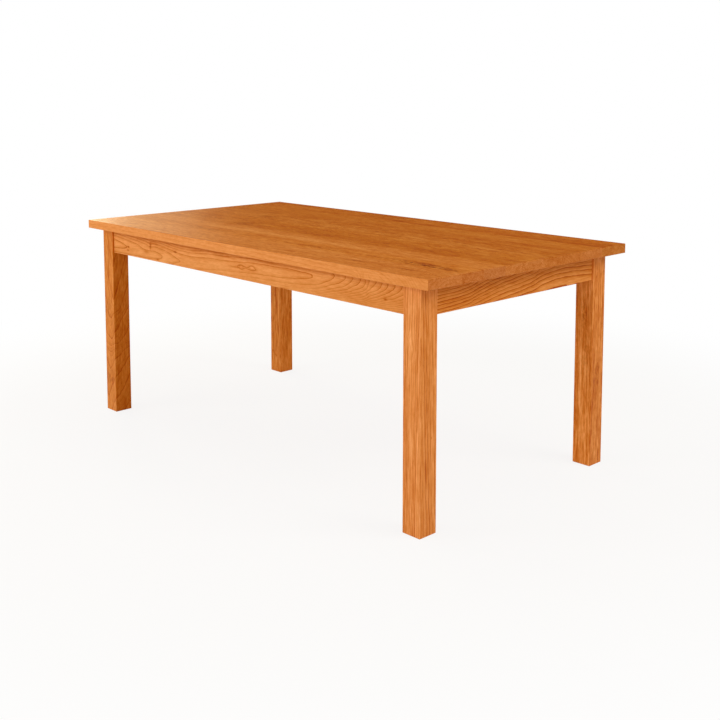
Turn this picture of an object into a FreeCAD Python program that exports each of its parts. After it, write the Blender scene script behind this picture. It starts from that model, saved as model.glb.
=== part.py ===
# Parsons dining table in solid cherry: an edge-glued top on four square legs and a recessed apron.
# The legs bolt on through corner blocks, and wooden buttons hold the top so that it can swell and shrink.
# Units are millimetres. The origin is on the floor under the middle of the top.
# X runs along the table, Y across it (front is -Y, right is +X) and Z up.
import FreeCAD, Part
import itertools
import math
import os

Vector = FreeCAD.Vector

# The top
table_length = 1829.0
table_width = 978.0
table_height = 762.0
top_thickness = 31.5
board_widths = (141.0, 96.5, 98.5, 185.0, 209.5, 107.5, 140.0)  # from the front, till the top is wide enough
edge_ease = 1.2  # radius on every edge that a hand can touch

# Legs and aprons
leg_side = 68.5
end_overhang = 56.0  # the top beyond the legs at each end
side_overhang = 32.5  # the top beyond the legs at front and rear
apron_height = 90.0
apron_thickness = 22.0
apron_reveal = 6.5  # how far the apron sits back from the outer faces of the legs

# Corner blocks and the bolts that draw the legs in
leg_flat_shoulder = 16.0  # leg left between the apron and the flat cut across the inner corner
leg_flat_margin = 4.0  # the flat runs on this far below the apron
block_thickness = 30.0
block_lift = 4.0  # above the lower edge of the apron
block_drop = 1.0  # below the groove for the buttons
block_gap = 8.0  # draw left between the leg and the block
bolt_radius = 4.0
bolt_depth = 40.0  # wood thread inside the leg
bolt_edge = 11.0  # from the middle of a bolt to the end of the block
bolt_point = 5.0
bolt_end = 4.0  # machine thread beyond the nut
bolt_chamfer = 0.8
washer_radius = 8.0
washer_thickness = 1.6
nut_across_flats = 13.0
nut_height = 6.5

# Wood screws
screw_radius = 2.1
screw_head_radius = 4.1
screw_head_height = 2.8
screw_head_round = 1.1  # on a pan head
screw_point = 5.0
recess_width = 1.0
recess_depth = 1.5
recess_reach = 2.2  # from the middle of the head

# Screws that hold the blocks to the aprons
block_screw_grip = 20.0  # block left under the head
block_screw_bite = 11.0  # thread in the apron
block_screw_edge = 15.0  # from the middle of a screw to the end of the block

# Wooden buttons and their groove
groove_lip = 10.0  # apron left above the groove
tongue_length = 8.0  # inside the groove
tongue_thickness = 8.0
button_length = 38.0
button_width = 26.0
button_gap = 3.0  # between a button and the apron, for the top to swell
button_screw_inset = 19.0  # from the end of the button nearer the apron
button_screw_bite = 16.0  # thread in the top
buttons_per_bay = 2  # on a long apron, each side of the cross rail
buttons_per_end = 2  # on a short apron

# Cross rail under the middle of the top
rail_thickness = 22.0
rail_lift = 19.5  # above the lower edge of the apron
rail_tenon_length = 11.0
rail_tenon_thickness = 10.0
rail_tenon_shoulder = 8.0  # below the tenon, and between it and the groove
rail_screw_grip = 28.0  # rail left above the washer
rail_screw_bite = 18.0  # thread in the top
rail_screw_inset = 146.0  # from the apron to the outer screws
rail_slot_travel = 5.0  # the outer screws can move this far each way
rail_washer_radius = 5.5
rail_washer_thickness = 1.2

# Clearances
bore_clearance = 0.1  # round a screw or bolt in its own hole
fit_clearance = 0.2  # round a tenon, and round a bolt in the block
groove_play = 0.5  # below a tongue
groove_relief = 3.0  # beyond a tongue
pocket_clearance = 1.0  # round a screw head or washer in its pocket
hole_relief = 2.0  # a blind hole runs on past the point
lap = 1.0  # for modelling only: joined shapes run into each other, and cutters past a face, by this much

# Worked out from the sizes above
leg_height = table_height - top_thickness
apron_bottom = leg_height - apron_height
leg_outer_x = table_length / 2 - end_overhang
leg_outer_y = table_width / 2 - side_overhang
leg_inner_x = leg_outer_x - leg_side
leg_inner_y = leg_outer_y - leg_side
apron_outer_x = leg_outer_x - apron_reveal
apron_outer_y = leg_outer_y - apron_reveal
apron_inner_x = apron_outer_x - apron_thickness
apron_inner_y = apron_outer_y - apron_thickness
leg_flat_cut = apron_inner_x - leg_inner_x - leg_flat_shoulder
groove_top = leg_height - groove_lip
groove_bottom = groove_top - tongue_thickness - groove_play
groove_depth = tongue_length + groove_relief
button_thickness = groove_lip + tongue_thickness
rail_bottom = apron_bottom + rail_lift
block_screw_length = screw_head_height + block_screw_grip + block_screw_bite
button_screw_length = button_thickness + button_screw_bite
rail_screw_length = screw_head_height + rail_washer_thickness + rail_screw_grip + rail_screw_bite


def box(low, high):
    """The block between two corners."""
    size = [b - a for a, b in zip(low, high)]
    return Part.makeBox(*size, Vector(*low))


def rod(radius, length, start, direction):
    """A round bar from start."""
    return Part.makeCylinder(radius, length, Vector(*start), Vector(*direction))


def joined(shapes):
    """Several overlapping shapes as one solid."""
    return shapes[0].multiFuse(shapes[1:]).removeSplitter()


def eased(shape, keep):
    """Rounds the edges of shape for which keep(edge) is true."""
    return shape.makeFillet(edge_ease, [e for e in shape.Edges if keep(e)])


def placed(shape, start, direction):
    """Turns a shape drawn along +Z from the origin to run along direction from start."""
    copy = shape.copy()
    turn = FreeCAD.Rotation(Vector(0, 0, 1), Vector(*direction))
    copy.Placement = FreeCAD.Placement(Vector(*start), turn)
    return copy


def in_corner(shape, x_side, y_side):
    """Moves a shape drawn in the right rear corner to another corner by mirroring it."""
    copy = shape.copy()
    if x_side < 0:
        copy = copy.mirror(Vector(0, 0, 0), Vector(1, 0, 0))
    if y_side < 0:
        copy = copy.mirror(Vector(0, 0, 0), Vector(0, 1, 0))
    return copy


def spread(count, low, high):
    """Places for count pieces, evenly spaced between two limits."""
    step = (high - low) / (count + 1)
    return [low + step * (i + 1) for i in range(count)]


CORNERS = {
    "front_left": (-1, -1),
    "front_right": (1, -1),
    "rear_left": (-1, 1),
    "rear_right": (1, 1),
}


# ---- wood screws, drawn with the head's outer face at z = 0 and the point towards +Z ----


def screw_body(length, head, extra=0.0):
    """A screw's outline turned round its axis; extra widens and deepens it to make the hole it sits in."""
    shank, wide = screw_radius + extra, screw_head_radius + extra
    end = length + (hole_relief if extra else 0.0)
    under_head = screw_head_height
    outline = [Vector(0, 0, 0), Vector(wide, 0, 0)]
    if head == "pan":
        outline.append(Vector(wide, 0, under_head))
    outline += [
        Vector(shank, 0, under_head),
        Vector(shank, 0, end - screw_point),
        Vector(0, 0, end),
        Vector(0, 0, 0),
    ]
    return Part.Face(Part.makePolygon(outline)).revolve(Vector(0, 0, 0), Vector(0, 0, 1), 360)


def wood_screw(length, head):
    """One screw with a cross recess in its head."""
    screw = screw_body(length, head)
    if head == "pan":
        rim = [e for e in screw.Edges if e.BoundBox.ZMax < 1e-6 and e.BoundBox.XLength > screw_head_radius]
        screw = screw.makeFillet(screw_head_round, rim)
    reach, half = recess_reach, recess_width / 2
    for low, high in (((-reach, -half), (reach, half)), ((-half, -reach), (half, reach))):
        screw = screw.cut(box((*low, -lap), (*high, recess_depth)))
    return screw


# ---- where the fasteners go ----


def block_line(offset):
    """x + y on a plane across the corner, offset from the flat cut on the leg towards the middle."""
    return leg_inner_x + leg_inner_y + leg_flat_cut - offset * math.sqrt(2)


def on_diagonal(offset, z):
    """The point on the corner's diagonal, through the leg's middle, on such a plane."""
    middle = (leg_inner_x - leg_inner_y) / 2
    half_sum = block_line(offset) / 2
    return (half_sum + middle, half_sum - middle, z)


OUTWARD = (1, 1, 0)  # along the corner's diagonal, from the middle of the table
INWARD = (-1, -1, 0)
block_bottom = apron_bottom + block_lift
block_top = groove_bottom - block_drop
bolt_heights = [block_bottom + bolt_edge, block_top - bolt_edge]
block_screw_heights = [block_bottom + block_screw_edge, block_top - block_screw_edge]
block_middle_line = block_line(block_gap + block_thickness / 2)
block_screw_x = block_middle_line - apron_inner_y  # where the block's middle meets the long apron
block_screw_y = block_middle_line - apron_inner_x  # and the short one
block_far_x = block_line(block_gap + block_thickness) - apron_inner_y
block_far_y = block_line(block_gap + block_thickness) - apron_inner_x


def block_screw_places():
    """Head position and direction of each screw from the right rear block into the aprons."""
    head_lift = block_screw_grip + screw_head_height
    for z in block_screw_heights:
        yield (block_screw_x, apron_inner_y - head_lift, z), (0, 1, 0)
        yield (apron_inner_x - head_lift, block_screw_y, z), (1, 0, 0)


def button_places():
    """Name, tongue root on the apron's inner face and inward direction of every button."""
    long_bay = spread(buttons_per_bay, rail_thickness / 2, block_far_x)
    along_x = sorted([-x for x in long_bay] + long_bay)
    along_y = spread(buttons_per_end, -block_far_y, block_far_y)
    for side, y, inward in (("front", -apron_inner_y, (0, 1)), ("rear", apron_inner_y, (0, -1))):
        for i, x in enumerate(along_x):
            yield f"{side}_button_{i + 1}", (x, y), inward
    for side, x, inward in (("left", -apron_inner_x, (1, 0)), ("right", apron_inner_x, (-1, 0))):
        for i, y in enumerate(along_y):
            yield f"{side}_button_{i + 1}", (x, y), inward


def button_screw_start(root, inward):
    """The middle of the screw's head, flush with the underside of a button."""
    reach = button_gap + button_screw_inset
    return (root[0] + inward[0] * reach, root[1] + inward[1] * reach, leg_height - button_thickness)


def rail_screw_starts():
    """The underside of each screw's head below the cross rail."""
    head_z = leg_height - rail_screw_grip - rail_washer_thickness - screw_head_height
    outer_y = apron_inner_y - rail_screw_inset
    return [(0.0, y, head_z) for y in (-outer_y, 0.0, outer_y)]


# ---- the pieces ----


def make_top():
    """Boards of the top by name, with the pilot holes of the screws that come up from below."""
    half_length, half_width = table_length / 2, table_width / 2
    slab = box((-half_length, -half_width, leg_height), (half_length, half_width, table_height))
    slab = slab.makeFillet(edge_ease, slab.Edges)
    pilots = []
    for _, root, inward in button_places():
        hole = screw_body(button_screw_length, "flat", bore_clearance)
        pilots.append(placed(hole, button_screw_start(root, inward), (0, 0, 1)))
    for start in rail_screw_starts():
        pilots.append(placed(screw_body(rail_screw_length, "pan", bore_clearance), start, (0, 0, 1)))
    slab = slab.cut(Part.makeCompound(pilots))
    boards, near = {}, -half_width
    stock = itertools.cycle(board_widths)
    while near < half_width:
        far = min(near + next(stock), half_width)
        strip = box((-half_length, near, leg_height), (half_length, far, table_height))
        boards[f"top_board_{len(boards) + 1}"] = slab.common(strip)
        near = far
    return boards


def make_leg():
    """The right rear leg, its inner corner cut flat behind the apron for the bolts."""
    leg = box((leg_inner_x, leg_inner_y, 0), (leg_outer_x, leg_outer_y, leg_height))
    leg = eased(leg, lambda e: e.BoundBox.ZMin < leg_height - lap)
    flat_bottom = apron_bottom - leg_flat_margin
    corner = [
        Vector(leg_inner_x, leg_inner_y, flat_bottom),
        Vector(leg_inner_x + leg_flat_cut, leg_inner_y, flat_bottom),
        Vector(leg_inner_x, leg_inner_y + leg_flat_cut, flat_bottom),
    ]
    wedge = Part.Face(Part.makePolygon(corner + corner[:1])).extrude(Vector(0, 0, leg_height - flat_bottom))
    leg = leg.cut(wedge)
    for z in bolt_heights:
        hole = rod(bolt_radius + bore_clearance, bolt_depth + hole_relief, on_diagonal(0, z), OUTWARD)
        leg = leg.cut(hole)
    return leg


def apron(inner, length_axis, half_length):
    """A rail on edge, its outer face away from the middle, with the button groove in its inner face."""
    outer = inner + apron_thickness
    if length_axis == "x":
        low, high = (-half_length, inner, apron_bottom), (half_length, outer, leg_height)
        groove = box((-half_length, inner, groove_bottom), (half_length, inner + groove_depth, groove_top))
    else:
        low, high = (inner, -half_length, apron_bottom), (outer, half_length, leg_height)
        groove = box((inner, -half_length, groove_bottom), (inner + groove_depth, half_length, groove_top))
    plain = box(low, high)
    plain = eased(plain, lambda e: e.BoundBox.ZMax < apron_bottom + lap and e.Length > 2 * apron_thickness)
    return plain.cut(groove)


def make_side_apron():
    """The rear apron, with the mortise for the cross rail and the pilot holes of the block screws."""
    rail = apron(apron_inner_y, "x", leg_inner_x)
    rail = rail.cut(rail_tenon(fit_clearance))
    for start, direction in block_screw_places():
        if direction[1]:
            hole = placed(screw_body(block_screw_length, "pan", bore_clearance), start, direction)
            rail = rail.cut(hole).cut(in_corner(hole, -1, 1))
    return rail


def make_end_apron():
    """The right apron with the pilot holes of the block screws."""
    rail = apron(apron_inner_x, "y", leg_inner_y)
    for start, direction in block_screw_places():
        if direction[0]:
            hole = placed(screw_body(block_screw_length, "pan", bore_clearance), start, direction)
            rail = rail.cut(hole).cut(in_corner(hole, 1, -1))
    return rail


def rail_tenon(extra=0.0):
    """The tenon at the rear end of the cross rail; extra makes its mortise."""
    half = rail_tenon_thickness / 2 + extra
    low = (-half, apron_inner_y - (0.0 if extra else lap), rail_bottom + rail_tenon_shoulder - extra)
    high = (half, apron_inner_y + rail_tenon_length + extra, groove_bottom - rail_tenon_shoulder + extra)
    return box(low, high)


def make_cross_rail():
    """The rail across the middle, tenoned into both long aprons, with pockets for three screws."""
    half = rail_thickness / 2
    rail = box((-half, -apron_inner_y, rail_bottom), (half, apron_inner_y, leg_height))
    rail = joined([rail, rail_tenon(), in_corner(rail_tenon(), 1, -1)])
    seat = leg_height - rail_screw_grip
    for x, y, _ in rail_screw_starts():
        travel = rail_slot_travel if y else 0.0
        for radius, low, high in (
            (rail_washer_radius + pocket_clearance, rail_bottom, seat),
            (screw_radius + bore_clearance, rail_bottom, leg_height),
        ):
            height = high - low
            cutters = [rod(radius, height, (x, y + shift, low), (0, 0, 1)) for shift in {-travel, travel}]
            if travel:
                cutters.append(box((x - radius, y - travel, low), (x + radius, y + travel, high)))
            rail = rail.cut(joined(cutters) if len(cutters) > 1 else cutters[0])
    return rail


def make_corner_block():
    """The right rear block: a thick piece across the corner, mitred to lie on both aprons."""
    near, far = block_line(block_gap), block_line(block_gap + block_thickness)
    outline = [
        Vector(near - apron_inner_y, apron_inner_y, block_bottom),
        Vector(far - apron_inner_y, apron_inner_y, block_bottom),
        Vector(apron_inner_x, far - apron_inner_x, block_bottom),
        Vector(apron_inner_x, near - apron_inner_x, block_bottom),
    ]
    block = Part.Face(Part.makePolygon(outline + outline[:1])).extrude(Vector(0, 0, block_top - block_bottom))
    for z in bolt_heights:
        start = on_diagonal(block_gap + block_thickness + lap, z)
        block = block.cut(rod(bolt_radius + fit_clearance, block_thickness + 2 * lap, start, OUTWARD))
    for start, direction in block_screw_places():
        screw_hole = placed(screw_body(block_screw_length, "pan", bore_clearance), start, direction)
        pocket_start = [s - d * block_thickness for s, d in zip(start, direction)]
        pocket_length = block_thickness + screw_head_height
        pocket = rod(screw_head_radius + pocket_clearance, pocket_length, pocket_start, direction)
        block = block.cut(screw_hole).cut(pocket)
    return block


def make_button(root, inward):
    """A wooden button: a block under the top with a tongue in the apron's groove."""
    half = button_width / 2
    bottom = leg_height - button_thickness
    body = box((button_gap, -half, bottom), (button_gap + button_length, half, leg_height))
    tongue = box((-tongue_length, -half, groove_top - tongue_thickness), (button_gap + lap, half, groove_top))
    button = joined([body, tongue])
    screw_hole = screw_body(button_screw_length, "flat", bore_clearance)
    button = button.cut(placed(screw_hole, (button_gap + button_screw_inset, 0, bottom), (0, 0, 1)))
    angle = math.degrees(math.atan2(inward[1], inward[0]))
    turn = FreeCAD.Rotation(Vector(0, 0, 1), angle)
    button.Placement = FreeCAD.Placement(Vector(root[0], root[1], 0), turn)
    return button


def hanger_bolt():
    """Drawn along +Z from the end in the leg: a pointed wood thread, then the machine thread."""
    through = block_gap + block_thickness + washer_thickness + nut_height + bolt_end
    length = bolt_depth + through
    outline = [
        Vector(0, 0, 0),
        Vector(bolt_radius, 0, bolt_point),
        Vector(bolt_radius, 0, length - bolt_chamfer),
        Vector(bolt_radius - bolt_chamfer, 0, length),
        Vector(0, 0, length),
        Vector(0, 0, 0),
    ]
    return Part.Face(Part.makePolygon(outline)).revolve(Vector(0, 0, 0), Vector(0, 0, 1), 360)


def flat_washer(radius, bore, thickness):
    """A plain washer on z = 0."""
    ring = Part.makeCylinder(radius, thickness)
    return ring.cut(Part.makeCylinder(bore, thickness))


def hex_nut():
    """A plain nut on z = 0, its corners chamfered by the usual 30 degree cone."""
    flat = nut_across_flats / 2
    corner = flat / math.cos(math.radians(30))
    angles = [math.radians(60 * i) for i in range(7)]
    points = [Vector(corner * math.cos(a), corner * math.sin(a), 0) for a in angles]
    blank = Part.Face(Part.makePolygon(points)).extrude(Vector(0, 0, nut_height))
    drop = (corner - flat) * math.tan(math.radians(30))
    outline = [
        Vector(0, 0, 0),
        Vector(flat, 0, 0),
        Vector(corner, 0, drop),
        Vector(corner, 0, nut_height - drop),
        Vector(flat, 0, nut_height),
        Vector(0, 0, nut_height),
        Vector(0, 0, 0),
    ]
    turned = Part.Face(Part.makePolygon(outline)).revolve(Vector(0, 0, 0), Vector(0, 0, 1), 360)
    return blank.common(turned).cut(Part.makeCylinder(bolt_radius + bore_clearance, nut_height))


# ---- the assembly ----


def build():
    """Every node by name, each holding one or more separate solids."""
    nodes = make_top()

    leg, block = make_leg(), make_corner_block()
    for name, (x_side, y_side) in CORNERS.items():
        nodes[f"{name}_leg"] = in_corner(leg, x_side, y_side)
        nodes[f"{name}_corner_block"] = in_corner(block, x_side, y_side)

    side_apron, end_apron = make_side_apron(), make_end_apron()
    nodes["front_apron"] = in_corner(side_apron, 1, -1)
    nodes["rear_apron"] = side_apron
    nodes["left_apron"] = in_corner(end_apron, -1, 1)
    nodes["right_apron"] = end_apron
    nodes["cross_rail"] = make_cross_rail()

    button_screws = []
    for name, root, inward in button_places():
        nodes[name] = make_button(root, inward)
        start = button_screw_start(root, inward)
        button_screws.append(placed(wood_screw(button_screw_length, "flat"), start, (0, 0, 1)))
    nodes["button_screws"] = Part.makeCompound(button_screws)

    rail_screws, rail_washers = [], []
    washer = flat_washer(rail_washer_radius, screw_radius + bore_clearance, rail_washer_thickness)
    for start in rail_screw_starts():
        rail_screws.append(placed(wood_screw(rail_screw_length, "pan"), start, (0, 0, 1)))
        on_head = (start[0], start[1], start[2] + screw_head_height)
        rail_washers.append(placed(washer, on_head, (0, 0, 1)))
    nodes["rail_screws"] = Part.makeCompound(rail_screws)
    nodes["rail_washers"] = Part.makeCompound(rail_washers)

    bolts, washers, nuts, block_screws = [], [], [], []
    washer = flat_washer(washer_radius, bolt_radius + fit_clearance, washer_thickness)
    behind_block = block_gap + block_thickness
    for z in bolt_heights:
        bolts.append(placed(hanger_bolt(), on_diagonal(-bolt_depth, z), INWARD))
        washers.append(placed(washer, on_diagonal(behind_block, z), INWARD))
        nuts.append(placed(hex_nut(), on_diagonal(behind_block + washer_thickness, z), INWARD))
    for start, direction in block_screw_places():
        block_screws.append(placed(wood_screw(block_screw_length, "pan"), start, direction))
    for name, shapes in (
        ("hanger_bolts", bolts),
        ("bolt_washers", washers),
        ("bolt_nuts", nuts),
        ("block_screws", block_screws),
    ):
        copies = [in_corner(shape, *sides) for sides in CORNERS.values() for shape in shapes]
        nodes[name] = Part.makeCompound(copies)
    return nodes


def main():
    """Writes one STEP file for each node."""
    os.makedirs("parts", exist_ok=True)
    for name, shape in build().items():
        solids = shape.Solids
        if not solids or not all(s.isValid() and s.Volume > 0 for s in solids):
            raise RuntimeError(f"{name} is not made of valid solids")
        whole = solids[0] if len(solids) == 1 else Part.makeCompound(solids)
        whole.exportStep(os.path.join("parts", f"{name}.step"))
        print(f"{name}: {len(solids)} solid(s), {sum(s.Volume for s in solids) / 1000:.1f} cm3")


main()
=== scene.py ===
import bmesh
import bpy
import math
from mathutils import Matrix, Vector


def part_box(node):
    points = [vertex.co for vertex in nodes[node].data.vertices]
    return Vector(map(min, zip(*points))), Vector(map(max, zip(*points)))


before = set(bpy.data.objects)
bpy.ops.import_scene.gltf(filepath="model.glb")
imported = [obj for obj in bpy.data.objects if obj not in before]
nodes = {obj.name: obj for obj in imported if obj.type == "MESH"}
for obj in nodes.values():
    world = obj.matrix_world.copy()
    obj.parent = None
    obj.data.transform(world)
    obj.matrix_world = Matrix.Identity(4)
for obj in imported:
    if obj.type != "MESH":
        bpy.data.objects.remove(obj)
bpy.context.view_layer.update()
mm = 0.001


def hexColour(text):
    # sRGB hex to the linear colour that Blender's sockets hold
    parts = [int(text[i:i + 2], 16) / 255 for i in (0, 2, 4)]
    linear = [c / 12.92 if c <= 0.04045 else ((c + 0.055) / 1.055) ** 2.4 for c in parts]
    return (*linear, 1.0)


def addNode(tree, kind, inputs=(), take=0, **settings):
    # adds one node with its settings and links, and hands back one of its outputs, or all of them for
    # take=None; inputs is a list in the order of its sockets, or a dictionary by their names or places
    made = tree.nodes.new(kind)
    for name, value in settings.items():
        setattr(made, name, value)
    for key, value in inputs.items() if isinstance(inputs, dict) else enumerate(inputs):
        if isinstance(value, bpy.types.NodeSocket):
            tree.links.new(value, made.inputs[key])
        else:
            made.inputs[key].default_value = value
    return made.outputs if take is None else made.outputs[take]


def emptyMaterial(name):
    material = bpy.data.materials.new(name)
    material.use_nodes = True
    material.node_tree.nodes.clear()
    return material, material.node_tree


# Solid cherry, planed and sanded, with a satin oil and varnish finish. What it gives the eye: an orange brown
# ground, a thin darker line where each year's growth ends, a slow light and dark mottle, fine fibre streaks,
# short gum flecks and a soft gloss. Lengths are in mm. Places are given from the middle of the board: along
# the grain, across, and out of its show face. How dark a mark is, is given in steps of the 255 that a colour
# channel has.
cherry = {
    "colour": "E08C41",
    "edgeColour": None,     # along its narrow edges, where that differs
    "endColour": None,      # and on its ends
    "edgeDetail": 1.0,      # how strongly those show the figure
    "endDetail": 0.0,       # added to that on the end grain
    "ringWidth": 2.0,       # from one year's line to the next, measured out from the heart of the tree
    "heartDepth": -190.0,   # how far out the heart lies, below zero when it is behind the show face
    "heartPath": ((-900.0, 0.0), (900.0, 0.0)),    # how far across it lies, along the board
    "runOut": ((-900.0, 0.0), (900.0, 0.0)),       # years that the saw passes through along the board
    "sweep": (320.0, 60.0, 12.0, 12.0),    # slow wander of the rings: length, width, size across and in depth
    "waver": (60.0, 16.0, 2.5, 2.5),       # the same, but quicker
    "bumps": (),            # swellings under the face: place, half length, half width, years
    "lineWidth": 2.6,       # about five times the real width, so that a line shows across a room
    "line": 50.0,           # how dark a year's line is
    "evenness": 0.35,       # 1 draws each year's line alike
    "patchiness": 0.55,     # how far the lines fade in places
    "fineLines": 3.0,       # fainter lines to a year
    "fineLine": 16.0,       # and how dark those are
    "mottle": 7.0,          # how dark and how light each of these three gets
    "ripple": 6.0,
    "streak": 9.0,
    "fleck": 20.0,          # and how dark a fleck of gum gets
    "stains": (),           # cloudy darker patches, lighter below zero: place, half length, half width, steps
    "marks": (),            # the same, but plain: gum spots, streaks of gum, and painted shade, such as the front apron's painted shadow line under the top
    "fades": (),            # where the year lines fade: place, half length, half width, share
    "roughness": 0.45,
    "gloss": 0.2,
    "seed": 0.0,
}

# how any board's figure is drawn
figure = {
    # noises: length, width, what is added to the seed, octaves, and strength of the finer ones
    "patches": (110.0, 24.0, 11.0, 2.0, 0.5),
    "mottle": (140.0, 34.0, 5.0, 3.0, 0.55),
    "ripple": (22.0, 9.0, 6.0, 2.0, 0.6),
    "fibre": (70.0, 3.6, 7.0, 4.0, 0.62),   # some six times as coarse as the real vessels, so that it shows
    "flecks": (12.0, 2.2, 9.0, 2.0, 0.5),
    "clouds": (17.0, 6.0, 13.0, 3.0, 0.65),
    "seedWay": (1.0, 1.7, 0.6),     # the way a seed moves a noise, to wood of its own
    "middle": (0.5, 0.5, 0.5),      # of a coloured noise
    "waverSeed": 3.1,               # added to the seed for the quicker wander
    "wanderAlong": 3.0,             # the rings slip this much more along the grain than across
    # the part of each noise's range that counts
    "patchRange": (0.32, 0.6),
    "eitherWay": (0.3, 0.7),
    "fleckRange": (0.66, 0.78),
    "cloudRange": (0.44, 0.64),
    "cloudShare": (0.15, 1.6),      # of a stain's steps, where its cloud is thinnest and thickest
    # a year's line
    "ownSlope": 0.05,               # years per mm along the surface at which it has its own width
    "widening": 0.4,                # the power by which a gentler slope widens it
    "widthLimits": (0.8, 2.4),      # least and most of its own width
    "innerWidth": 2.5,              # width of its inner side over that of its outer side
    "mostOfYear": 0.42,             # that its inner side may fill
    "skirtWidth": 4.0,              # its soft skirt, over the line's width
    "skirt": 0.35,                  # and over the line's strength
    "fineEvenness": 0.0,            # as a board's evenness, for its fainter lines
    "slopeStep": 4.0,               # mm either way over which the run-out's slope is taken
    "leastSlope": 0.003,            # years per mm, where the surface runs along a ring
    "facing": (0.6, 0.95),          # how squarely a face looks one way, from not at all to wholly
    # what a step takes off red, green and blue: year lines lose a little less red, and stains are browner
    "lineShare": (0.8, 1.0, 1.1),
    "stainShare": (1.05, 1.0, 1.0),
    "darkest": (0.01, 0.01, 0.01),
    "eyeGamma": 2.2,
}

# the oil and varnish film
satin = {
    "reflection": "FFD9A0",     # amber
    "ior": 1.45,
    "dullLines": 0.06,          # roughness added where a year's line is darkest
    "dullEnds": 0.12,           # and on the end grain
    "sunkenLines": 0.4,         # how far a line lies below the fibre, as a share of the relief
    "relief": 0.1,              # mm
    "reliefShare": 0.1,         # how much of it shows
}


def total(tree, parts):
    # adds up several values
    running = parts[0]
    for part in parts[1:]:
        running = addNode(tree, "ShaderNodeMath", [running, part], operation="ADD")
    return running


def softSpots(tree, place, spots):
    # each spot is its own strength in the middle and fades to 0 around it
    parts = []
    for middle, halfLong, halfWide, strength in spots:
        shrink = (1 / halfLong, 1 / halfWide, 1 / halfWide)
        away = addNode(tree, "ShaderNodeVectorMath", [place, middle], operation="SUBTRACT")
        away = addNode(tree, "ShaderNodeVectorMath", [away, shrink], operation="MULTIPLY")
        square = addNode(tree, "ShaderNodeVectorMath", [away, away], take="Value", operation="DOT_PRODUCT")
        falling = addNode(tree, "ShaderNodeMath", [square, -1.0], operation="MULTIPLY")
        fading = addNode(tree, "ShaderNodeMath", [falling], operation="EXPONENT")
        parts.append(addNode(tree, "ShaderNodeMath", [fading, strength], operation="MULTIPLY"))
    return total(tree, parts)


def swellings(tree, place, bumps):
    # how many years each bump lifts the rings by, and how fast that changes, in years per mm
    height = 0.0
    slope = (0.0, 0.0, 0.0)
    for middle, halfLong, halfWide, years in bumps:
        steepness = (-2 / halfLong ** 2, -2 / halfWide ** 2, -2 / halfWide ** 2)
        lift = softSpots(tree, place, [(middle, halfLong, halfWide, years)])
        height = total(tree, [height, lift])
        away = addNode(tree, "ShaderNodeVectorMath", [place, middle], operation="SUBTRACT")
        falling = addNode(tree, "ShaderNodeVectorMath", [away, steepness], operation="MULTIPLY")
        slope = addNode(tree, "ShaderNodeVectorMath", [falling, lift, slope], operation="MULTIPLY_ADD")
    return height, slope


def grainNoise(tree, place, long, wide, seed, detail=2.0, roughness=0.5, take="Fac"):
    # noise drawn out along the grain
    shrink = (1 / long, 1 / wide, 1 / wide)
    origin = tuple(seed * part for part in figure["seedWay"])
    stretched = addNode(tree, "ShaderNodeVectorMath", [place, shrink, origin], operation="MULTIPLY_ADD")
    inputs = {"Vector": stretched, "Scale": 1.0, "Detail": detail, "Roughness": roughness}
    return addNode(tree, "ShaderNodeTexNoise", inputs, take=take)


def figureNoise(tree, place, seed, name):
    long, wide, seedStep, detail, roughness = figure[name]
    return grainNoise(tree, place, long, wide, seed + seedStep, detail, roughness)


def curveThrough(tree, value, points):
    # a smooth curve through a few points
    lowIn = points[0][0]
    highIn = points[-1][0]
    heights = [height for _, height in points]
    lowOut = min(heights)
    highOut = max(heights) + 1e-6    # a level path has a range too
    shown = addNode(tree, "ShaderNodeMapRange", [value, lowIn, highIn, 0.0, 1.0])
    made = tree.nodes.new("ShaderNodeFloatCurve")
    tree.links.new(shown, made.inputs["Value"])
    curve = made.mapping.curves[0]
    spots = [((x - lowIn) / (highIn - lowIn), (y - lowOut) / (highOut - lowOut)) for x, y in points]
    curve.points[0].location = spots[0]
    curve.points[1].location = spots[-1]
    for spot in spots[1:-1]:
        curve.points.new(*spot)
    for point in curve.points:
        point.handle_type = "AUTO_CLAMPED"
    made.mapping.update()
    return addNode(tree, "ShaderNodeMapRange", [made.outputs[0], 0.0, 1.0, lowOut, highOut])


def wandering(tree, place, board):
    # shifts each point of the wood a little, so that no ring is true
    for name, seed in (("sweep", board["seed"]), ("waver", board["seed"] + figure["waverSeed"])):
        long, wide, sideways, inwards = board[name]
        noise = grainNoise(tree, place, long, wide, seed, take="Color")
        shift = addNode(tree, "ShaderNodeVectorMath", [noise, figure["middle"]], operation="SUBTRACT")
        # the noise reaches half a unit either way, so twice each size
        reach = (2 * figure["wanderAlong"] * sideways, 2 * sideways, 2 * inwards)
        place = addNode(tree, "ShaderNodeVectorMath", [shift, reach, place], operation="MULTIPLY_ADD")
    return place


def runningOut(tree, along, path):
    # the years that the saw has passed through, and how fast, from two places a little apart
    step = figure["slopeStep"]
    before = addNode(tree, "ShaderNodeMath", [along, step], operation="SUBTRACT")
    after = addNode(tree, "ShaderNodeMath", [along, step], operation="ADD")
    before = curveThrough(tree, before, path)
    after = curveThrough(tree, after, path)
    middle = addNode(tree, "ShaderNodeMath", [total(tree, [before, after]), 0.5], operation="MULTIPLY")
    rise = addNode(tree, "ShaderNodeMath", [after, before], operation="SUBTRACT")
    return middle, addNode(tree, "ShaderNodeMath", [rise, 2 * step], operation="DIVIDE")


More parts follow.
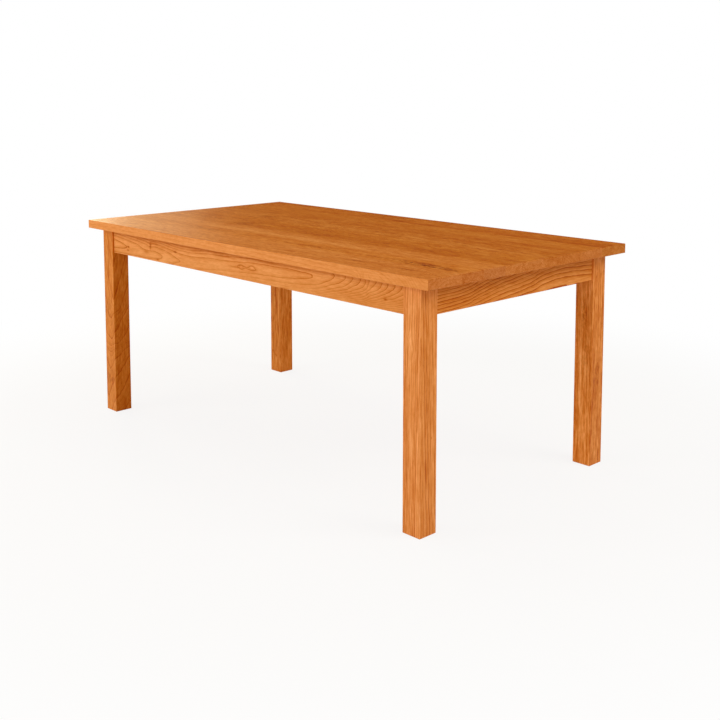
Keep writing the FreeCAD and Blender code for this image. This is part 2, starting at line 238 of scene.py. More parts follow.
def alongSurface(tree, slope, normal):
    # how steep a slope is along the surface
    straight = addNode(tree, "ShaderNodeVectorMath", [slope, normal], take="Value", operation="DOT_PRODUCT")
    straight = addNode(tree, "ShaderNodeVectorMath", {0: normal, "Scale": straight}, operation="SCALE")
    flat = addNode(tree, "ShaderNodeVectorMath", [slope, straight], operation="SUBTRACT")
    steepness = addNode(tree, "ShaderNodeVectorMath", [flat], take="Value", operation="LENGTH")
    return addNode(tree, "ShaderNodeMath", [steepness, figure["leastSlope"]], operation="MAXIMUM")


def growthRings(tree, place, board):
    # the years from the heart of the tree to each point, how fast they pass in years per mm, and how far
    # along it is
    place = wandering(tree, place, board)
    along, across, depth = addNode(tree, "ShaderNodeSeparateXYZ", [place], take=None)
    heart = curveThrough(tree, along, board["heartPath"])
    fromHeart = addNode(tree, "ShaderNodeMath", [across, heart], operation="SUBTRACT")
    outward = addNode(tree, "ShaderNodeMath", [depth, board["heartDepth"]], operation="SUBTRACT")
    spoke = addNode(tree, "ShaderNodeCombineXYZ", [0.0, fromHeart, outward])
    radius = addNode(tree, "ShaderNodeVectorMath", [spoke], take="Value", operation="LENGTH")
    years = addNode(tree, "ShaderNodeMath", [radius, board["ringWidth"]], operation="DIVIDE")
    reach = addNode(tree, "ShaderNodeMath", [radius, board["ringWidth"]], operation="MULTIPLY")
    inverse = addNode(tree, "ShaderNodeMath", [1.0, reach], operation="DIVIDE")
    slope = addNode(tree, "ShaderNodeVectorMath", {0: spoke, "Scale": inverse}, operation="SCALE")
    return years, slope, along


def boardRings(tree, place, normal, board):
    # the rings with their run-out and swellings, and how fast they pass along the surface
    years, slope, along = growthRings(tree, place, board)
    passed, rise = runningOut(tree, along, board["runOut"])
    swollen, swollenSlope = swellings(tree, place, board["bumps"])
    for part in (addNode(tree, "ShaderNodeCombineXYZ", [rise]), swollenSlope):
        slope = addNode(tree, "ShaderNodeVectorMath", [slope, part], operation="ADD")
    return total(tree, [years, passed, swollen]), alongSurface(tree, slope, normal)


def yearLines(tree, years, slope, width, evenness):
    # dark where a year ends: sharp on the outer side, with a soft skirt on the inner side, and broader where
    # the surface cuts the year at a low angle
    low, high = figure["widthLimits"]
    broader = addNode(tree, "ShaderNodeMath", [figure["ownSlope"], slope], operation="DIVIDE")
    broader = addNode(tree, "ShaderNodeMath", [broader, figure["widening"]], operation="POWER")
    broader = addNode(tree, "ShaderNodeMapRange", [broader, low, high, low * width, high * width])
    part = addNode(tree, "ShaderNodeMath", [years], operation="FRACT")
    year = addNode(tree, "ShaderNodeMath", [years], operation="FLOOR")
    left = addNode(tree, "ShaderNodeMath", [1.0, part], operation="SUBTRACT")
    ahead = addNode(tree, "ShaderNodeMath", [left, slope], operation="DIVIDE")
    behind = addNode(tree, "ShaderNodeMath", [part, slope], operation="DIVIDE")
    behind = addNode(tree, "ShaderNodeMath", [behind, figure["innerWidth"]], operation="MULTIPLY")
    near = addNode(tree, "ShaderNodeMath", [ahead, behind], operation="MINIMUM")
    room = addNode(tree, "ShaderNodeMath", [figure["mostOfYear"], slope], operation="DIVIDE")
    shown = addNode(tree, "ShaderNodeMath", [room, broader], operation="MINIMUM")
    core = addNode(tree, "ShaderNodeMapRange", [near, 0.0, shown, 1.0, 0.0], interpolation_type="SMOOTHSTEP")
    reach = addNode(tree, "ShaderNodeMath", [broader, figure["skirtWidth"]], operation="MULTIPLY")
    skirt = addNode(tree, "ShaderNodeMapRange", [ahead, 0.0, reach, figure["skirt"], 0.0],
                    interpolation_type="SMOOTHSTEP")
    line = addNode(tree, "ShaderNodeMath", [core, skirt], operation="MAXIMUM")
    weight = addNode(tree, "ShaderNodeTexWhiteNoise", {"W": year}, noise_dimensions="1D")
    weight = addNode(tree, "ShaderNodeMapRange", [weight, 0.0, 1.0, evenness, 1.0])
    return addNode(tree, "ShaderNodeMath", [line, weight], operation="MULTIPLY")


def boardPlaces(tree, middle, axes):
    # each point in mm from the middle of the board, and the way its surface faces, both along the board's own
    # axes
    turn = Matrix([Vector(axis) for axis in axes]).transposed().to_euler()
    coordinates = addNode(tree, "ShaderNodeTexCoord", take=None)
    inputs = {"Vector": coordinates["Object"], "Location": middle, "Rotation": turn, "Scale": (mm, mm, mm)}
    place = addNode(tree, "ShaderNodeMapping", inputs, vector_type="TEXTURE")
    inputs = {"Vector": coordinates["Normal"], "Rotation": turn}
    return place, addNode(tree, "ShaderNodeMapping", inputs, vector_type="TEXTURE")


def boardLines(tree, place, normal, board):
    # year lines, which come and go along the board, and the fainter ones between them
    years, slope = boardRings(tree, place, normal, board)
    patchy = figureNoise(tree, place, board["seed"], "patches")
    patchy = addNode(tree, "ShaderNodeMapRange",
                     [patchy, *figure["patchRange"], 1.0 - board["patchiness"], 1.0])
    if board["fades"]:
        faded = softSpots(tree, place, board["fades"])
        kept = addNode(tree, "ShaderNodeMath", [1.0, faded], operation="SUBTRACT", use_clamp=True)
        patchy = addNode(tree, "ShaderNodeMath", [patchy, kept], operation="MULTIPLY")
    line = yearLines(tree, years, slope, board["lineWidth"], board["evenness"])
    line = addNode(tree, "ShaderNodeMath", [line, patchy], operation="MULTIPLY")
    years = addNode(tree, "ShaderNodeMath", [years, board["fineLines"]], operation="MULTIPLY")
    slope = addNode(tree, "ShaderNodeMath", [slope, board["fineLines"]], operation="MULTIPLY")
    return line, yearLines(tree, years, slope, board["lineWidth"], figure["fineEvenness"])


def boardGround(tree, normal, board):
    # the plain colour by the way the surface faces, how strongly it shows the figure, and how far it is end
    # grain
    facing = addNode(tree, "ShaderNodeVectorMath", [normal], operation="ABSOLUTE")
    alongGrain, acrossGrain, outward = addNode(tree, "ShaderNodeSeparateXYZ", [facing], take=None)
    ends = addNode(tree, "ShaderNodeMapRange", [alongGrain, *figure["facing"], 0.0, 1.0])
    ground = hexColour(board["colour"])
    if board["edgeColour"]:
        edges = addNode(tree, "ShaderNodeMapRange", [acrossGrain, *figure["facing"], 0.0, 1.0])
        inputs = {"Factor": edges, "A": ground, "B": hexColour(board["edgeColour"])}
        ground = addNode(tree, "ShaderNodeMix", inputs, take=2, data_type="RGBA")
    if board["endColour"]:
        inputs = {"Factor": ends, "A": ground, "B": hexColour(board["endColour"])}
        ground = addNode(tree, "ShaderNodeMix", inputs, take=2, data_type="RGBA")
    detail = addNode(tree, "ShaderNodeMapRange", [outward, *figure["facing"], board["edgeDetail"], 1.0])
    detail = addNode(tree, "ShaderNodeMath", [ends, board["endDetail"], detail], operation="MULTIPLY_ADD")
    return ground, detail, ends


def figureSteps(tree, place, line, fine, fibre, board):
    # how much darker the figure makes each point: lines, a slow mottle, a shorter ripple, streaks of fibre,
    # short flecks where gum filled the vessels, and the board's own marks, which on the front apron include
    # a painted shadow line under the top
    mottle = figureNoise(tree, place, board["seed"], "mottle")
    ripple = figureNoise(tree, place, board["seed"], "ripple")
    flecks = figureNoise(tree, place, board["seed"], "flecks")
    darker = []
    for pattern, steps in ((line, board["line"]), (fine, board["fineLine"])):
        darker.append(addNode(tree, "ShaderNodeMath", [pattern, steps], operation="MULTIPLY"))
    for noise, steps in ((mottle, board["mottle"]), (ripple, board["ripple"]), (fibre, board["streak"])):
        darker.append(addNode(tree, "ShaderNodeMapRange", [noise, *figure["eitherWay"], -steps, steps]))
    darker.append(addNode(tree, "ShaderNodeMapRange", [flecks, *figure["fleckRange"], 0.0, board["fleck"]]))
    # the board's marks: gum spots and streaks, and on the front apron a painted shadow line under the top
    if board["marks"]:
        darker.append(softSpots(tree, place, board["marks"]))
    return total(tree, darker)


def darkened(tree, colour, steps, share):
    # takes steps off red, green and blue on the eye's scale, each by its own share
    seen = addNode(tree, "ShaderNodeGamma", [colour, 1 / figure["eyeGamma"]])
    less = addNode(tree, "ShaderNodeMath", [steps, -1 / 255], operation="MULTIPLY")
    lower = addNode(tree, "ShaderNodeVectorMath", [less, share, seen], operation="MULTIPLY_ADD")
    lower = addNode(tree, "ShaderNodeVectorMath", [lower, figure["darkest"]], operation="MAXIMUM")
    return addNode(tree, "ShaderNodeGamma", [lower, figure["eyeGamma"]])


def stained(tree, colour, place, detail, board):
    # the board's cloudy patches
    clouds = figureNoise(tree, place, board["seed"], "clouds")
    clouds = addNode(tree, "ShaderNodeMapRange", [clouds, *figure["cloudRange"], *figure["cloudShare"]])
    clouds = addNode(tree, "ShaderNodeMath", [clouds, detail], operation="MULTIPLY")
    spots = softSpots(tree, place, board["stains"])
    steps = addNode(tree, "ShaderNodeMath", [spots, clouds], operation="MULTIPLY")
    return darkened(tree, colour, steps, figure["stainShare"])


def satinSurface(tree, colour, line, fibre, ends, board):
    # the film gives an amber reflection; year lines and end grain are a little duller
    rough = addNode(tree, "ShaderNodeMath", [line, satin["dullLines"], board["roughness"]],
                    operation="MULTIPLY_ADD")
    rough = addNode(tree, "ShaderNodeMath", [ends, satin["dullEnds"], rough], operation="MULTIPLY_ADD")
    height = addNode(tree, "ShaderNodeMath", [line, -satin["sunkenLines"], fibre], operation="MULTIPLY_ADD")
    bump = addNode(tree, "ShaderNodeBump",
                   {"Height": height, "Strength": satin["reliefShare"], "Distance": satin["relief"] * mm})
    return addNode(tree, "ShaderNodeBsdfPrincipled",
                   {"Base Color": colour, "Roughness": rough, "Normal": bump, "IOR": satin["ior"],
                    "Specular IOR Level": board["gloss"], "Specular Tint": hexColour(satin["reflection"])})


def cherryWood(name, middle, axes, changes):
    # one board's own cherry; middle is its centre in metres, axes are its grain, width and outward directions
    board = {**cherry, **changes}
    material, tree = emptyMaterial(name)
    place, normal = boardPlaces(tree, middle, axes)
    line, fine = boardLines(tree, place, normal, board)
    fibre = figureNoise(tree, place, board["seed"], "fibre")
    ground, detail, ends = boardGround(tree, normal, board)
    steps = figureSteps(tree, place, line, fine, fibre, board)
    steps = addNode(tree, "ShaderNodeMath", [steps, detail], operation="MULTIPLY")
    colour = darkened(tree, ground, steps, figure["lineShare"])
    if board["stains"]:
        colour = stained(tree, colour, place, detail, board)
    surface = satinSurface(tree, colour, line, fibre, ends, board)
    addNode(tree, "ShaderNodeOutputMaterial", [surface], take=None)
    return material


def dress(name, material):
    node = nodes[name]
    node.data.materials.clear()
    node.data.materials.append(material)


def centreOf(name):
    low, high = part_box(name)
    return tuple((a + b) / 2 for a, b in zip(low, high))


def dressBoard(name, axes, changes):
    title = "cherry" + name.title().replace("_", "")
    dress(name, cherryWood(title, centreOf(name), axes, changes))


# grain, width and outward directions of each kind of piece
alongTop = ((1, 0, 0), (0, 1, 0), (0, 0, 1))
alongFront = ((1, 0, 0), (0, 0, 1), (0, -1, 0))
alongRear = ((-1, 0, 0), (0, 0, 1), (0, 1, 0))
alongRight = ((0, 1, 0), (0, 0, 1), (1, 0, 0))
alongLeft = ((0, -1, 0), (0, 0, 1), (-1, 0, 0))
upright = ((0, 0, 1), (1, 0, 0), (0, 1, 0))

# mm from the middle of a piece to its show face
topFace = 15.75
apronFace = 11.0
legFront = -34.0
apronEdge = 44.75    # and up to the edge that an apron's marks are measured from


def onTop(along, across, halfLong, halfWide, strength):
    return (along, across, topFace), halfLong, halfWide, strength


def onApron(along, fromTop, halfLong, halfWide, strength):
    # fromTop is measured down from the apron's upper edge
    return (along, apronEdge - fromTop, apronFace), halfLong, halfWide, strength


def onLeg(along, right, halfLong, halfWide, strength, back=legFront):
    # along runs up from the leg's middle, right and back are measured from its middle too
    return (along, right, back), halfLong, halfWide, strength


# the seven boards of the top, from the front, and what they share
topWood = {
    "streak": 22.0,
    "ripple": 13.0,
    "mottle": 9.0,
    "edgeDetail": 0.6,
    "endDetail": 0.12,
}
topBoards = [
    {"colour": "D07D30", "edgeColour": "E3934E", "endColour": "CA7A3B",
     "heartDepth": -150.0, "ringWidth": 12.0, "heartPath": ((-900.0, 20.0), (900.0, 45.0)),
     "runOut": ((-900.0, 0.0), (600.0, 1.0), (650.0, 2.5), (700.0, 8.0), (780.0, 11.0), (900.0, 20.0)),
     "mottle": 6.0, "edgeDetail": 0.45,
     "stains": (onTop(540.0, 10.0, 60.0, 9.0, 34.0), onTop(640.0, 18.0, 16.0, 7.0, 34.0),
                onTop(748.0, 8.0, 40.0, 11.0, 36.0), onTop(430.0, -16.0, 40.0, 6.0, 22.0))},
    {"colour": "D27F2D", "endColour": "C77739",
     "heartDepth": -90.0, "ringWidth": 4.0, "heartPath": ((-900.0, -60.0), (900.0, -20.0)),
     "stains": (onTop(-380.0, -3.0, 100.0, 22.0, 24.0), onTop(-130.0, 0.0, 120.0, 16.0, 10.0),
                onTop(100.0, -14.0, 14.0, 6.0, 22.0), onTop(262.0, -11.0, 120.0, 16.0, 26.0),
                onTop(560.0, -14.0, 90.0, 16.0, 20.0), onTop(690.0, -16.0, 70.0, 20.0, 44.0),
                onTop(760.0, -22.0, 70.0, 24.0, 50.0), onTop(845.0, -26.0, 44.0, 16.0, 44.0))},
    {"colour": "D38235", "endColour": "C6793E",
     "heartDepth": -60.0, "ringWidth": 4.0, "heartPath": ((-900.0, 110.0), (900.0, 70.0)),
     "line": 26.0, "mottle": 6.0,
     "marks": (onTop(-50.0, -24.0, 420.0, 24.0, -16.0), onTop(150.0, 50.0, 900.0, 17.0, 15.0)),
     "stains": (onTop(-548.0, 2.0, 16.0, 6.0, 16.0),)},
    {"colour": "C97723", "endColour": "CF8242",
     "heartDepth": -160.0, "heartPath": ((-900.0, -50.0), (900.0, 40.0)),
     "runOut": ((-900.0, 0.0), (-300.0, 2.5), (900.0, 5.0)), "waver": (80.0, 22.0, 5.0, 5.0),
     "marks": (onTop(-100.0, 80.0, 760.0, 12.0, -14.0), onTop(100.0, -14.0, 700.0, 46.0, 9.0),
               onTop(100.0, -92.0, 900.0, 14.0, -7.0)),
     "stains": (onTop(-690.0, -20.0, 40.0, 44.0, 12.0), onTop(-395.0, -50.0, 50.0, 34.0, 36.0),
                onTop(-355.0, 70.0, 20.0, 16.0, 26.0), onTop(560.0, -48.0, 50.0, 14.0, 26.0),
                onTop(355.0, -30.0, 20.0, 8.0, 18.0), onTop(600.0, 22.0, 24.0, 10.0, 18.0),
                onTop(0.0, -30.0, 220.0, 50.0, 8.0), onTop(800.0, -10.0, 120.0, 40.0, 8.0))},
    {"colour": "C77524", "endColour": "C87936",
     "heartDepth": -200.0, "heartPath": ((-900.0, -30.0), (900.0, -80.0)),
     "stains": (onTop(-500.0, -38.0, 50.0, 16.0, 42.0), onTop(-570.0, 40.0, 24.0, 12.0, 12.0),
                onTop(-360.0, 28.0, 20.0, 8.0, 12.0), onTop(12.0, 3.0, 16.0, 12.0, 16.0),
                onTop(122.0, 3.0, 14.0, 12.0, 16.0), onTop(256.0, -76.0, 14.0, 10.0, 18.0),
                onTop(270.0, 96.0, 40.0, 8.0, 12.0), onTop(415.0, 9.0, 18.0, 8.0, 12.0),
                onTop(572.0, -76.0, 18.0, 8.0, 16.0), onTop(730.0, 3.0, 12.0, 8.0, 14.0))},
    {"colour": "C87624", "endColour": "C87939",
     "heartDepth": -110.0, "ringWidth": 3.0, "heartPath": ((-900.0, 90.0), (900.0, 60.0)),
     "line": 30.0, "mottle": 7.0,
     "marks": (onTop(500.0, -10.0, 420.0, 40.0, -5.0),),
     "stains": (onTop(-70.0, 18.0, 18.0, 10.0, 16.0),)},
    {"colour": "C46F1C", "endColour": "C97F3B",
     "heartDepth": -140.0, "heartPath": ((-900.0, -20.0), (900.0, 30.0)),
     "stains": (onTop(-120.0, 0.0, 120.0, 34.0, 14.0), onTop(-30.0, -44.0, 40.0, 12.0, 16.0),
                onTop(710.0, -44.0, 60.0, 14.0, 18.0), onTop(890.0, -20.0, 30.0, 30.0, 14.0),
                onTop(-420.0, -36.0, 40.0, 12.0, 14.0))},
]
for number, changes in enumerate(topBoards, start=1):
    dressBoard(f"top_board_{number}", alongTop, {"seed": float(number), **topWood, **changes})
print("top: seven boards of satin cherry")

# A flat-sawn board. Its rings run out to the right in nested arches, with a knot, two eyes and gum spots on
# the way. Along its whole length just under the top it has a painted shadow line, shade from the top's
# overhang.
frontApron = {
    "colour": "E39650",
    "heartDepth": -180.0,
    "heartPath": ((-787.0, -8.0), (-692.0, -13.0), (-447.0, -23.0), (-339.0, -25.0), (-150.0, -13.0),
                  (28.0, -3.0), (85.0, 1.0), (262.0, 7.0), (395.0, 14.0), (492.0, 28.0), (610.0, 35.0),
                  (787.0, 37.0)),
    "runOut": ((-787.0, 0.6), (-692.0, 1.0), (-447.0, 2.0), (-339.0, 3.0), (-150.0, 3.45), (150.0, 3.62),
               (330.0, 3.8), (395.0, 4.0), (492.0, 5.0), (542.0, 6.0), (575.0, 7.0), (610.0, 8.0), (632.0, 9.0),
               (645.0, 10.0), (675.0, 11.0), (699.0, 12.0), (725.0, 13.0), (755.0, 14.0), (787.0, 15.2)),
    "sweep": (320.0, 60.0, 2.5, 0.15),
    "waver": (50.0, 14.0, 1.4, 0.12),
    "bumps": (onApron(28.0, 47.0, 14.0, 7.0, 0.8), onApron(86.0, 44.0, 17.0, 7.5, 0.8),
              onApron(48.0, 46.5, 62.0, 3.0, 0.45), onApron(-529.0, 28.0, 22.0, 16.0, 0.6),
              onApron(-572.0, 50.0, 46.0, 13.0, 0.45)),
    "marks": (onApron(-684.0, 56.0, 7.0, 3.4, 78.0), onApron(-687.0, 69.0, 7.0, 3.0, 52.0),
              onApron(-364.0, 40.0, 7.5, 3.0, 66.0), onApron(-481.0, 82.0, 9.0, 3.0, 52.0),
              onApron(-529.0, 36.0, 5.5, 12.0, 52.0), onApron(-518.0, 24.0, 26.0, 2.8, 44.0),
              onApron(-487.0, 28.0, 12.0, 10.0, 10.0), onApron(-556.0, 62.0, 18.0, 6.0, 28.0),
              # the second mark on the next line runs the whole apron 13 mm below its upper edge: painted shade,
              # the shadow under the top's overhang
              onApron(712.0, 57.0, 6.0, 2.8, 58.0), onApron(0.0, 13.0, 1500.0, 3.6, 18.0),
              onApron(-60.0, 22.0, 60.0, 2.4, 18.0), onApron(-8.0, 51.0, 24.0, 2.6, 30.0),
              onApron(190.0, 16.0, 75.0, 4.5, 22.0),
              onApron(28.0, 47.0, 17.0, 8.0, 32.0), onApron(28.0, 46.5, 9.0, 4.0, -48.0),
              onApron(86.0, 44.0, 19.0, 8.0, 32.0), onApron(86.0, 43.5, 11.0, 4.2, -48.0)),
    "fades": (onApron(480.0, 82.0, 420.0, 26.0, 0.6), onApron(-60.0, 78.0, 330.0, 26.0, 0.5)),
    "lineWidth": 3.2,
    "line": 62.0,
    "evenness": 0.75,
    "patchiness": 0.3,
    "fineLine": 5.0,
    "fleck": 12.0,
    "seed": 21.0,
}
# from the heart to the face it is 95 years and a part, which is taken off, so that arches fall on whole years
yearsToFace = (apronFace - frontApron["heartDepth"]) / cherry["ringWidth"]
frontApron["runOut"] = tuple((along, years - yearsToFace % 1) for along, years in frontApron["runOut"])
# the right apron's lines flow up to the right and level off
rightApron = {
    "colour": "E29145",
    "ringWidth": 8.6,
    "heartDepth": -60.0,
    "heartPath": ((-386.0, -133.0), (-271.0, -127.0), (-186.0, -110.0), (-86.0, -92.0), (14.0, -80.0),
                  (64.0, -73.0), (114.0, -60.0), (164.0, -54.0), (214.0, -51.0), (314.0, -55.0),
                  (386.0, -59.0)),
    "runOut": ((-386.0, -0.36), (386.0, -0.36)),
    "sweep": (260.0, 60.0, 2.5, 1.5),
    "waver": (50.0, 12.0, 2.3, 1.4),
    "lineWidth": 3.8,
    "line": 94.0,
    "evenness": 0.4,
    "patchiness": 0.3,
    "streak": 14.0,
    "fineLines": 2.0,
    "fineLine": 9.0,
    "gloss": 0.12,
    "seed": 31.0,
}
rearApron = {
    "heartPath": ((-787.0, -10.0), (787.0, 20.0)),
    "runOut": ((-787.0, 0.0), (200.0, 2.0), (500.0, 6.0), (787.0, 15.0)),
    "seed": 24.0,
}
leftApron = {
    "colour": "DA7F2A",
    "ringWidth": 5.0,
    "heartDepth": -70.0,
    "heartPath": ((-386.0, -60.0), (386.0, -90.0)),
    "seed": 34.0,
}
dressBoard("front_apron", alongFront, frontApron)
dressBoard("rear_apron", alongRear, rearApron)
dressBoard("right_apron", alongRight, rightApron)
dressBoard("left_apron", alongLeft, leftApron)
print("aprons: four boards of satin cherry")

# the legs: straight rift-sawn grain at the front right, arches round the inner corner at the front left
legs = {
    "front_right_leg": {
        "colour": "F5A867", "edgeColour": "EE9E58",
        "ringWidth": 6.5, "heartDepth": 150.0, "heartPath": ((-365.0, -205.0), (365.0, -190.0)),
        "sweep": (400.0, 60.0, 3.0, 3.0), "waver": (120.0, 16.0, 1.4, 1.4),
        "lineWidth": 3.8, "line": 84.0, "fineLines": 2.0, "fineLine": 40.0, "patchiness": 0.3,
        "mottle": 4.0, "streak": 24.0, "seed": 41.0,
        "bumps": (onLeg(-160.0, -44.0, 260.0, 36.0, -3.0), onLeg(205.0, -12.0, 26.0, 7.0, 0.8),
                  onLeg(180.0, 6.0, 30.0, 6.0, -0.6)),
        "marks": (onLeg(-78.0, 34.0, 3.0, 1.8, 43.2, back=13.0),)},
    "front_left_leg": {
        "colour": "D48235", "edgeColour": "CF7620",
        "ringWidth": 45.0, "heartDepth": -45.0,
        "heartPath": ((-365.0, -30.0), (-120.0, 2.0), (13.0, 6.0), (70.0, 30.0), (365.0, 40.0)),
        "runOut": ((-365.0, 7.2), (-200.0, 5.8), (-130.0, 4.76), (-103.0, 3.76), (-75.0, 2.76), (8.0, 1.76),
                   (90.0, 0.76), (365.0, -1.2)),
        "sweep": (200.0, 60.0, 4.0, 4.0), "waver": (34.0, 20.0, 2.6, 2.6),
        "lineWidth": 4.4, "line": 40.0, "fineLine": 20.0, "evenness": 0.5, "patchiness": 0.7,
        "ripple": 10.0, "streak": 17.0, "seed": 42.0,
        "marks": (onLeg(265.0, 0.0, 55.0, 3.0, 33.1), onLeg(180.0, -4.0, 40.0, 3.0, 25.9)),
        "stains": (onLeg(-225.0, -5.0, 30.0, 30.0, 28.8), onLeg(50.0, 0.0, 50.0, 24.0, 14.0))},
    "rear_right_leg": {
        "colour": "EA964A", "edgeColour": "D67F32",
        "ringWidth": 7.0, "heartDepth": 10.0, "heartPath": ((-365.0, -190.0), (365.0, -205.0)),
        "sweep": (300.0, 60.0, 6.0, 6.0), "waver": (60.0, 16.0, 3.2, 3.2),
        "lineWidth": 3.4, "line": 40.0, "fineLines": 2.0, "fineLine": 26.0,
        "mottle": 12.0, "ripple": 12.0, "streak": 36.0, "seed": 43.0,
        "marks": (onLeg(-35.0, -10.0, 200.0, 2.8, -34.0), onLeg(-200.0, -33.0, 70.0, 7.0, 24.5)),
        "stains": (onLeg(160.0, 0.0, 60.0, 12.0, 31.7), onLeg(20.0, 10.0, 60.0, 14.0, 18.7),
                   onLeg(-50.0, 34.0, 50.0, 18.0, 20.0, back=-4.0))},
    "rear_left_leg": {
        "colour": "CE7C2E", "edgeColour": "D98333",
        "ringWidth": 9.0, "heartDepth": 120.0, "heartPath": ((-365.0, -20.0), (365.0, -60.0)),
        "runOut": ((-365.0, -1.0), (-255.0, 0.0), (365.0, 3.0)),
        "sweep": (260.0, 60.0, 6.0, 6.0), "waver": (70.0, 16.0, 3.5, 3.5),
        "lineWidth": 4.5, "line": 30.0, "streak": 36.0, "seed": 44.0,
        "marks": (onLeg(10.0, 0.0, 60.0, 5.0, 33.1), onLeg(-80.0, 8.0, 40.0, 5.0, 37.4),
                  onLeg(-160.0, 18.0, 40.0, 5.0, 31.7), onLeg(-60.0, 20.0, 160.0, 6.0, -20.0),
                  onLeg(-250.0, -14.0, 40.0, 4.0, 24.5), onLeg(-190.0, -18.0, 40.0, 4.0, 17.3)),
        "stains": (onLeg(30.0, -32.0, 70.0, 9.0, 24.5), onLeg(-70.0, 34.0, 60.0, 9.0, 25.9, back=28.0))},
}
for name, changes in legs.items():
    dressBoard(name, upright, changes)
print("legs: four posts of satin cherry")

# inside pieces are plainer cherry, only sealed
inside = {
    "colour": "C8834F",
    "ringWidth": 4.0,
    "heartDepth": -90.0,
    "heartPath": ((-600.0, 60.0), (600.0, 40.0)),
    "roughness": 0.6,
}
insideSeeds = {
    "crossRail": 51.0,
    "firstBlock": 61.0,
    "button": 70.0,
    "buttonStepAlong": 31.0,        # more for each metre along the table
    "buttonStepAcross": 17.0,       # and across it
}


def dressBlocks():
    # the grain of a corner block runs across its corner
    up = Vector((0, 0, 1))
    for index, corner in enumerate(("front_left", "front_right", "rear_left", "rear_right")):
        name = corner + "_corner_block"
        x, y, _ = centreOf(name)
        grain = Vector((x / abs(x), -y / abs(y), 0)).normalized()
        axes = (tuple(grain), tuple(up), tuple(grain.cross(up)))
        dressBoard(name, axes, {**inside, "seed": insideSeeds["firstBlock"] + index})


def dressButtons():
    # each is cut from another place in the wood
    for name in sorted(n for n in nodes if "_button_" in n):
        x, y, _ = centreOf(name)
        seed = insideSeeds["button"]
        seed += insideSeeds["buttonStepAlong"] * x
        seed += insideSeeds["buttonStepAcross"] * y
        axes = alongRight if name.startswith(("front", "rear")) else alongTop
        dressBoard(name, axes, {**inside, "seed": seed})


dressBoard("cross_rail", alongRight, {**inside, "seed": insideSeeds["crossRail"]})
dressBlocks()
dressButtons()
print("inside: cross rail, corner blocks and buttons")

# bright zinc plating over turned and rolled steel: a cool grey with cloudy crystals
zinc = {
    "dark": "A9ABA8",
    "light": "D2D2CB",
    "crystals": 700.0,      # to the metre, coarser than the real ones, so that they show
    "detail": 3.0,
    "crystalRange": (0.35, 0.65),
    "roughness": (0.25, 0.5),
    "pieces": ("button_screws", "rail_screws", "rail_washers", "hanger_bolts", "bolt_washers", "bolt_nuts",
               "block_screws"),
}


def zincPlatedSteel():
    material, tree = emptyMaterial("zincPlatedSteel")
    place = addNode(tree, "ShaderNodeTexCoord", take="Object")
    crystals = addNode(tree, "ShaderNodeTexNoise",
                       {"Vector": place, "Scale": zinc["crystals"], "Detail": zinc["detail"]})
    share = addNode(tree, "ShaderNodeMapRange", [crystals, *zinc["crystalRange"], 0.0, 1.0])
    inputs = {"Factor": share, "A": hexColour(zinc["dark"]), "B": hexColour(zinc["light"])}
    colour = addNode(tree, "ShaderNodeMix", inputs, take=2, data_type="RGBA")
    rough = addNode(tree, "ShaderNodeMapRange", [crystals, 0.0, 1.0, *zinc["roughness"]])
    surface = addNode(tree, "ShaderNodeBsdfPrincipled",
                      {"Base Color": colour, "Metallic": 1.0, "Roughness": rough})
    addNode(tree, "ShaderNodeOutputMaterial", [surface], take=None)
    return material


steel = zincPlatedSteel()
for name in zinc["pieces"]:
    dress(name, steel)
print("hardware: zinc plated")

# the studio: a pale floor, a white backdrop, soft lamps, and black flags that keep the backdrop's glare off
# the top
studio = {
    "floorSize": 60.0,
    "floorColour": "E9E7E3",
    "floorFade": (1.2, 2.6),        # m from the table's middle where its fading to white starts and ends
    "floorWhite": 0.86,             # how far it is white nearer in, where the rest shows the table's shadow
    "ambient": 0.35,                # soft light from all round
    "ambientColour": "FFE9C9",
    "flagDistance": 7.0,
    "flagHeight": 6.0,
    "flagSides": 64,
    "flagColour": "262626",
    "lampAim": (0.0, 0.0, 0.6),
    "lamps": {                      # place, side of the square, watts, colour
        "frontLeftLamp": ((-2.4, -4.4, 2.2), 2.8, 81.0, "FFFFFF"),
        "frontLamp": ((0.2, -5.0, 1.8), 2.8, 27.0, "FFFFFF"),
        "frontRightLamp": ((2.8, -4.6, 2.2), 2.4, 30.0, "FFFFFF"),
        "rightLamp": ((5.0, -0.4, 2.0), 2.4, 21.0, "FFFFFF"),
        "rightHighLamp": ((4.0, 1.5, 3.6), 2.4, 84.0, "FFFFFF"),
        "overheadLamp": ((0.0, 0.0, 4.2), 3.0, 29.0, "FFFFFF"),
        "leftHighLamp": ((-4.2, -1.2, 3.0), 2.4, 35.0, "FFFFFF"),
        "glossLamp": ((-3.9, 1.3, 1.5), 1.4, 10.0, "FFF3C8"),
        "cornerGlossLamp": ((-3.4, 0.6, 1.25), 0.8, 18.0, "FFF3C8"),
    },
}


def hangLamps():
    for name, (place, side, watts, colour) in studio["lamps"].items():
        lamp = bpy.data.lights.new(name, "AREA")
        lamp.shape = "SQUARE"
        lamp.size = side
        lamp.energy = watts
        lamp.color = hexColour(colour)[:3]
        holder = bpy.data.objects.new(name, lamp)
        holder.location = place
        aim = Vector(studio["lampAim"]) - Vector(place)
        holder.rotation_euler = aim.to_track_quat("-Z", "Y").to_euler()
        holder.visible_camera = False
        bpy.context.scene.collection.objects.link(holder)


def seenDirectly(tree):
    # 1 for what the camera sees straight on, in a reflection or through something
    rays = addNode(tree, "ShaderNodeLightPath", take=None)
    return total(tree, [rays["Is Camera Ray"], rays["Is Glossy Ray"], rays["Is Transmission Ray"]])


def stagePiece(name, form, material):
    # the object of a finished bmesh
    mesh = bpy.data.meshes.new(name)
    form.to_mesh(mesh)
    form.free()
    mesh.materials.append(material)
    piece = bpy.data.objects.new(name, mesh)
    bpy.context.scene.collection.objects.link(piece)
    return piece


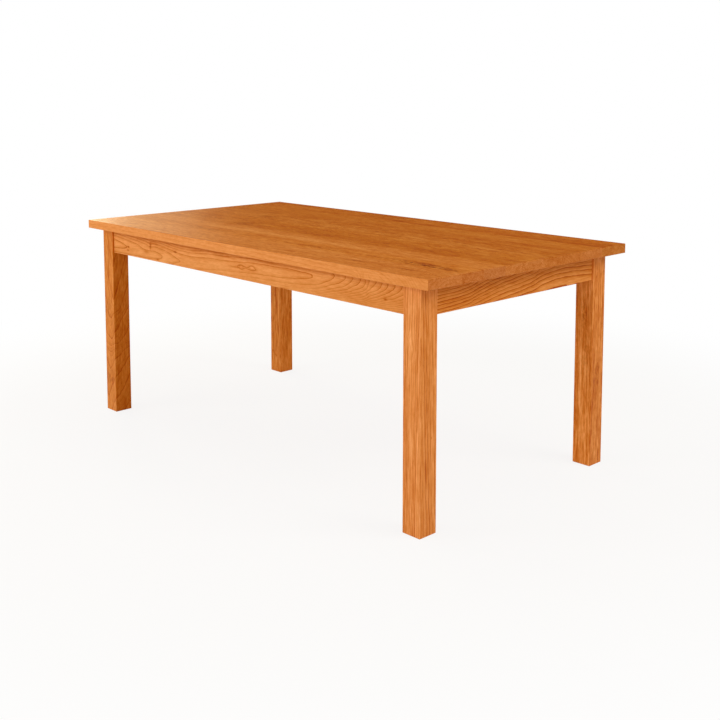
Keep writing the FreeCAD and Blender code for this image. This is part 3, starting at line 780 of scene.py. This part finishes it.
def layFloor():
    # matt paint, which fades into the white backdrop farther off
    form = bmesh.new()
    bmesh.ops.create_grid(form, x_segments=1, y_segments=1, size=studio["floorSize"] / 2)
    material, tree = emptyMaterial("paintedFloor")
    place = addNode(tree, "ShaderNodeTexCoord", take="Object")
    away = addNode(tree, "ShaderNodeVectorMath", [place], take="Value", operation="LENGTH")
    away = addNode(tree, "ShaderNodeMapRange", [away, *studio["floorFade"], studio["floorWhite"], 1.0],
                   interpolation_type="SMOOTHSTEP")
    white = addNode(tree, "ShaderNodeMath", [seenDirectly(tree), away], operation="MULTIPLY", use_clamp=True)
    paint = addNode(tree, "ShaderNodeBsdfDiffuse", [hexColour(studio["floorColour"])])
    glow = addNode(tree, "ShaderNodeEmission", [(1, 1, 1, 1), 1.0])
    surface = addNode(tree, "ShaderNodeMixShader", [white, paint, glow])
    addNode(tree, "ShaderNodeOutputMaterial", [surface], take=None)
    floor = stagePiece("studioFloor", form, material)


def standFlags():
    # matt black cloth in a ring, which only the gloss of the varnish sees
    height = studio["flagHeight"]
    distance = studio["flagDistance"]
    form = bmesh.new()
    bmesh.ops.create_cone(form, cap_ends=False, segments=studio["flagSides"], radius1=distance,
                          radius2=distance, depth=height, matrix=Matrix.Translation((0, 0, height / 2)))
    material, tree = emptyMaterial("blackCloth")
    cloth = addNode(tree, "ShaderNodeBsdfDiffuse", [hexColour(studio["flagColour"])])
    addNode(tree, "ShaderNodeOutputMaterial", [cloth], take=None)
    flags = stagePiece("blackFlags", form, material)
    flags.visible_camera = False
    flags.visible_diffuse = False
    flags.visible_transmission = False
    flags.visible_shadow = False


def paintBackdrop():
    scene = bpy.context.scene
    world = bpy.data.worlds.new("whiteRoom")
    scene.world = world
    world.use_nodes = True
    tree = world.node_tree
    tree.nodes.clear()
    soft = addNode(tree, "ShaderNodeBackground", [hexColour(studio["ambientColour"]), studio["ambient"]])
    white = addNode(tree, "ShaderNodeBackground", [(1, 1, 1, 1), 1.0])
    sky = addNode(tree, "ShaderNodeMixShader", [seenDirectly(tree), soft, white])
    addNode(tree, "ShaderNodeOutputWorld", [sky], take=None)
    scene.view_settings.view_transform = "Standard"


hangLamps()
layFloor()
standFlags()
paintBackdrop()
print("studio: floor, backdrop, flags and lamps")

# a standing view from the front right corner, with the frame lowered so that uprights stay nearly upright
view = {
    "place": (2.8153, -2.5626, 1.2759),    # m
    "tilt": 84.3,               # degrees up from straight down
    "heading": 46.284,          # degrees to the left of straight back
    "lens": 52.336,             # mm, as is the sensor
    "sensor": 36.0,
    "drop": -0.2302,            # of the picture's width
}
camera = bpy.data.cameras.new("tableView")
camera.lens = view["lens"]
camera.sensor_width = view["sensor"]
camera.shift_y = view["drop"]
holder = bpy.data.objects.new("tableView", camera)
holder.location = view["place"]
holder.rotation_euler = (math.radians(view["tilt"]), 0, math.radians(view["heading"]))
bpy.context.scene.collection.objects.link(holder)
bpy.context.scene.camera = holder
print("camera: placed")
